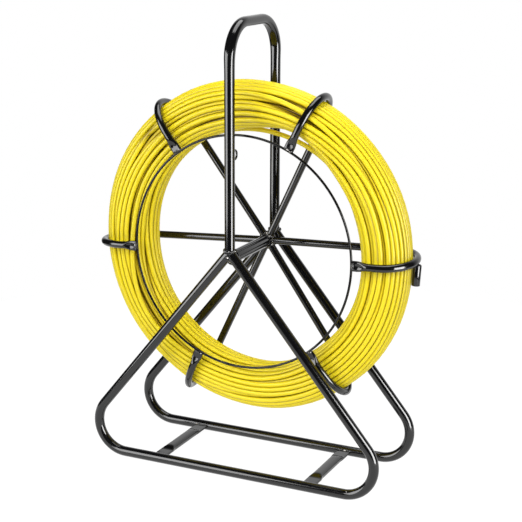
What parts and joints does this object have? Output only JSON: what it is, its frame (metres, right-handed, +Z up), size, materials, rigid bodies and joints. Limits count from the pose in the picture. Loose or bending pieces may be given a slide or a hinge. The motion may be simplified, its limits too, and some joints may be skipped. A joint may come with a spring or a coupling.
{
  "type": "fish tape reel",
  "caption": "Free-standing tube stand with a carrying handle and a turning wire cage that holds a wound bundle of fibreglass pulling rod.",
  "frame": {"origin": "on the floor, under the middle of the reel, between the two side frames", "axes": "+Z up through the handle, X along the side frames' base tubes, +Y along the axle from the front side frame to the back one; the rod end holder is on the +X side"},
  "size_m": [0.4587, 0.1484, 0.6],
  "materials": {
    "black_paint": "gloss black paint on steel tube",
    "nylon": "natural nylon, satin",
    "yellow_rod": "yellow plastic jacket on fibreglass rod, satin",
    "brass": "turned brass"
  },
  "bodies": {
    "stand": {"front_side_tube": "black_paint", "back_side_tube": "black_paint", "handle_tube": "black_paint", "left_base_crossbar": "black_paint", "right_base_crossbar": "black_paint", "axle_rod": "black_paint", "front_thrust_washer": "black_paint", "back_thrust_washer": "black_paint", "guide_eye": "black_paint"},
    "reel": {"hub_sleeve": "black_paint", "front_hub_bush": "nylon", "back_hub_bush": "nylon", "cage_arm_right": "black_paint", "cage_arm_upper_right": "black_paint", "cage_arm_upper_left": "black_paint", "cage_arm_left": "black_paint", "cage_arm_lower_left": "black_paint", "cage_arm_lower_right": "black_paint", "retaining_ring": "black_paint", "rod_end_holder": "black_paint", "fish_rod_coil": "yellow_rod", "outer_rod_ferrule": "brass", "inner_rod_ferrule": "brass"}
  },
  "joints": [
    {"name": "reel_spin", "type": "hinge", "parent": "stand", "child": "reel", "pos_m": [0, 0, 0.2985], "axis": [0, 1, 0], "continuous": true}
  ]
}
